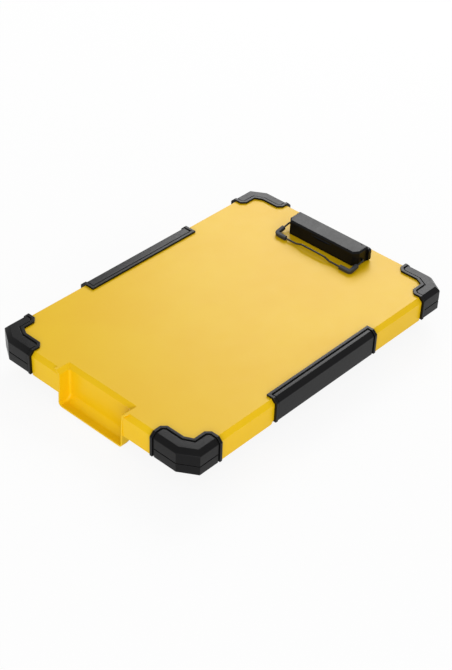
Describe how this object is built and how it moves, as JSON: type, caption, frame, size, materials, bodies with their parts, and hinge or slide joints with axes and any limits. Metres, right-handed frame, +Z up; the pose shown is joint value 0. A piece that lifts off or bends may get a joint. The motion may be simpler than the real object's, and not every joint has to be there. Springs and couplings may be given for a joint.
{
  "type": "clipboard storage case",
  "caption": "Yellow clipboard lid with a spring-wire paper clip, black corner bumpers and side grips, hinged over a black storage tray with a sliding latch.",
  "frame": {"origin": "on the surface the case stands on, under the middle of the whole case", "axes": "+Y along the long side to the clip and hinge end, +X to the right-hand long side seen from the front pocket, +Z up out of the writing face"},
  "size_m": [0.3076, 0.4388, 0.0705],
  "materials": {
    "yellow_shell": "satin moulded, very fine grain",
    "black_guard": "fine matt grain, slightly soft",
    "black_clip": "fine matt grain",
    "black_wire": "black powder coat on steel wire",
    "boot_rubber": "smooth matt rubber",
    "black_tray": "matt moulded, fine grain",
    "latch_plastic": "matt moulded",
    "foot_rubber": "matt rubber",
    "spring_steel": "drawn spring wire",
    "zinc_steel": "zinc plated"
  },
  "bodies": {
    "tray": {"base_tray": "black_tray", "foot_front_left": "foot_rubber", "foot_front_right": "foot_rubber", "foot_rear_left": "foot_rubber", "foot_rear_right": "foot_rubber", "hinge_pin_left": "zinc_steel", "hinge_pin_right": "zinc_steel", "latch_spring": "spring_steel"},
    "lid": {"lid_shell": "yellow_shell", "front_left_bumper": "black_guard", "front_right_bumper": "black_guard", "rear_left_bumper": "black_guard", "rear_right_bumper": "black_guard", "left_side_grip": "black_guard", "right_side_grip": "black_guard", "clip_cover": "black_clip", "clip_base": "black_clip", "clip_spring_left": "spring_steel", "clip_spring_right": "spring_steel", "clip_screws": "zinc_steel"},
    "bail": {"wire_bail": "black_wire", "bail_boot_left": "boot_rubber", "bail_boot_right": "boot_rubber"},
    "latch": {"latch_slide": "latch_plastic"}
  },
  "joints": [
    {"name": "lid_hinge", "type": "hinge", "parent": "tray", "child": "lid", "pos_m": [0, 0.2146, 0.0144], "axis": [-1, 0, 0], "range_deg": [0, 110]},
    {"name": "bail_hinge", "type": "hinge", "parent": "lid", "child": "bail", "pos_m": [0, 0.1772, 0.0587], "axis": [-1, 0, 0], "range_deg": [0, 70], "stiffness_Nm_per_rad": 0.3, "springref_deg": -57.3},
    {"name": "latch_travel", "type": "slide", "parent": "tray", "child": "latch", "axis": [1, 0, 0], "range_m": [0, 0.008], "stiffness_N_per_m": 250, "springref_m": -0.006, "deforming": ["latch_spring"]}
  ]
}
